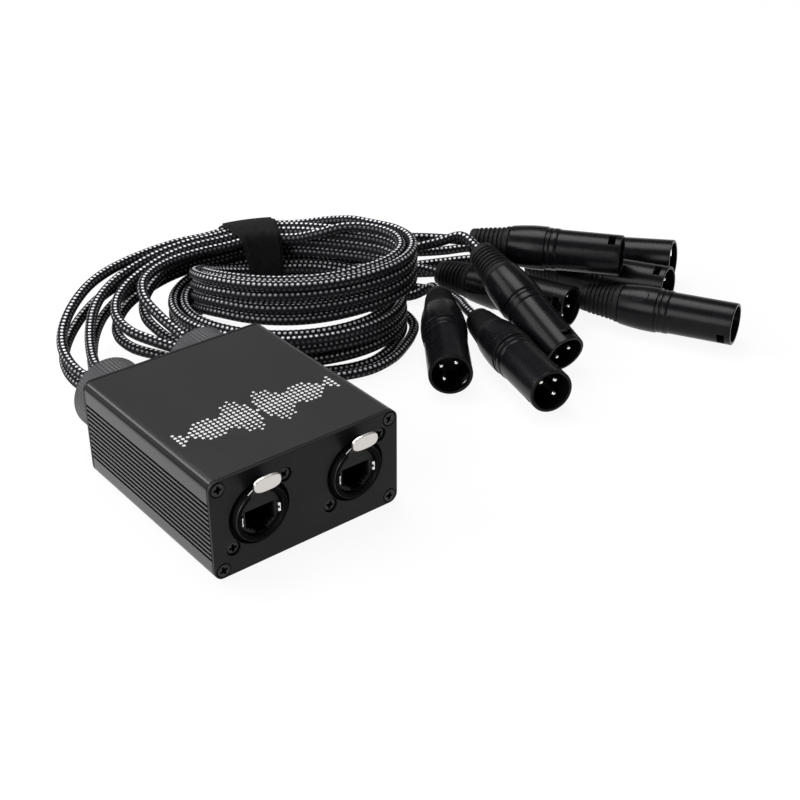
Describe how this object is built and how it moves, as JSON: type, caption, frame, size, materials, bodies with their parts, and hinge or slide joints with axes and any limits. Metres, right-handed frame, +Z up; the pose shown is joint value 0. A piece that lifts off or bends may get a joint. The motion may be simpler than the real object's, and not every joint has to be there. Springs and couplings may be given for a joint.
{
  "type": "network breakout box",
  "caption": "Small aluminium breakout box with locking network sockets in front and braided leads from its rear glands, strapped in a coil, that end in pin plugs.",
  "frame": {"origin": "bottom centre of the case with its release tabs and cable glands, on the surface that it stands on", "axes": "-Y out of the network sockets, +Y out of the cable glands, +Z up"},
  "size_m": [0.306, 0.1982, 0.0445],
  "materials": {
    "anodised": "black anodised, satin",
    "panel": "black anodised, fine satin",
    "black_screw": "black plated",
    "socket_black": "moulded, slightly satin",
    "nickel": "nickel plated, satin",
    "board": "green circuit board",
    "gland_black": "moulded nylon",
    "seal_rubber": "soft rubber",
    "braid": "braided sleeve with light tracer threads",
    "strap": "hook-and-loop fabric",
    "plug_black": "black coated metal, satin",
    "boot_black": "moulded rubber",
    "contact": "silver plated"
  },
  "bodies": {
    "case": {"enclosure_shell": "anodised", "front_panel": "panel", "rear_panel": "panel", "front_panel_screw_1": "black_screw", "front_panel_screw_2": "black_screw", "front_panel_screw_3": "black_screw", "front_panel_screw_4": "black_screw", "circuit_board": "board", "socket_left_shell": "socket_black", "socket_left_jack": "socket_black", "socket_left_screw_1": "black_screw", "socket_left_screw_2": "black_screw", "socket_right_shell": "socket_black", "socket_right_jack": "socket_black", "socket_right_screw_1": "black_screw", "socket_right_screw_2": "black_screw", "gland_left_body": "gland_black", "gland_left_seal": "seal_rubber", "gland_left_locknut": "gland_black", "gland_right_body": "gland_black", "gland_right_seal": "seal_rubber", "gland_right_locknut": "gland_black", "lead_1": "braid", "lead_2": "braid", "lead_3": "braid", "lead_4": "braid", "lead_5": "braid", "lead_6": "braid", "lead_7": "braid", "lead_8": "braid", "cable_strap": "strap", "plug_1_boot": "boot_black", "plug_1_shell": "plug_black", "plug_1_insert": "contact", "plug_2_boot": "boot_black", "plug_2_shell": "plug_black", "plug_2_insert": "contact", "plug_3_boot": "boot_black", "plug_3_shell": "plug_black", "plug_3_insert": "contact", "plug_4_boot": "boot_black", "plug_4_shell": "plug_black", "plug_4_insert": "contact", "plug_5_boot": "boot_black", "plug_5_shell": "plug_black", "plug_5_insert": "contact", "plug_6_boot": "boot_black", "plug_6_shell": "plug_black", "plug_6_insert": "contact", "plug_7_boot": "boot_black", "plug_7_shell": "plug_black", "plug_7_insert": "contact", "plug_8_boot": "boot_black", "plug_8_shell": "plug_black", "plug_8_insert": "contact"},
    "latch_left": {"socket_left_latch": "nickel"},
    "latch_right": {"socket_right_latch": "nickel"},
    "cap_left": {"gland_left_cap": "gland_black"},
    "cap_right": {"gland_right_cap": "gland_black"}
  },
  "joints": [
    {"name": "latch_left_press", "type": "slide", "parent": "case", "child": "latch_left", "axis": [0, 1, 0], "range_m": [0, 0.0012], "stiffness_N_per_m": 400, "springref_m": -0.001},
    {"name": "latch_right_press", "type": "slide", "parent": "case", "child": "latch_right", "axis": [0, 1, 0], "range_m": [0, 0.0012], "stiffness_N_per_m": 400, "springref_m": -0.001},
    {"name": "cap_left_turn", "type": "hinge", "parent": "case", "child": "cap_left", "pos_m": [-0.02065, 0.0368, 0.02], "axis": [0, 1, 0], "range_deg": [0, 360]},
    {"name": "cap_right_turn", "type": "hinge", "parent": "case", "child": "cap_right", "pos_m": [0.02065, 0.0368, 0.02], "axis": [0, 1, 0], "range_deg": [0, 360]}
  ]
}
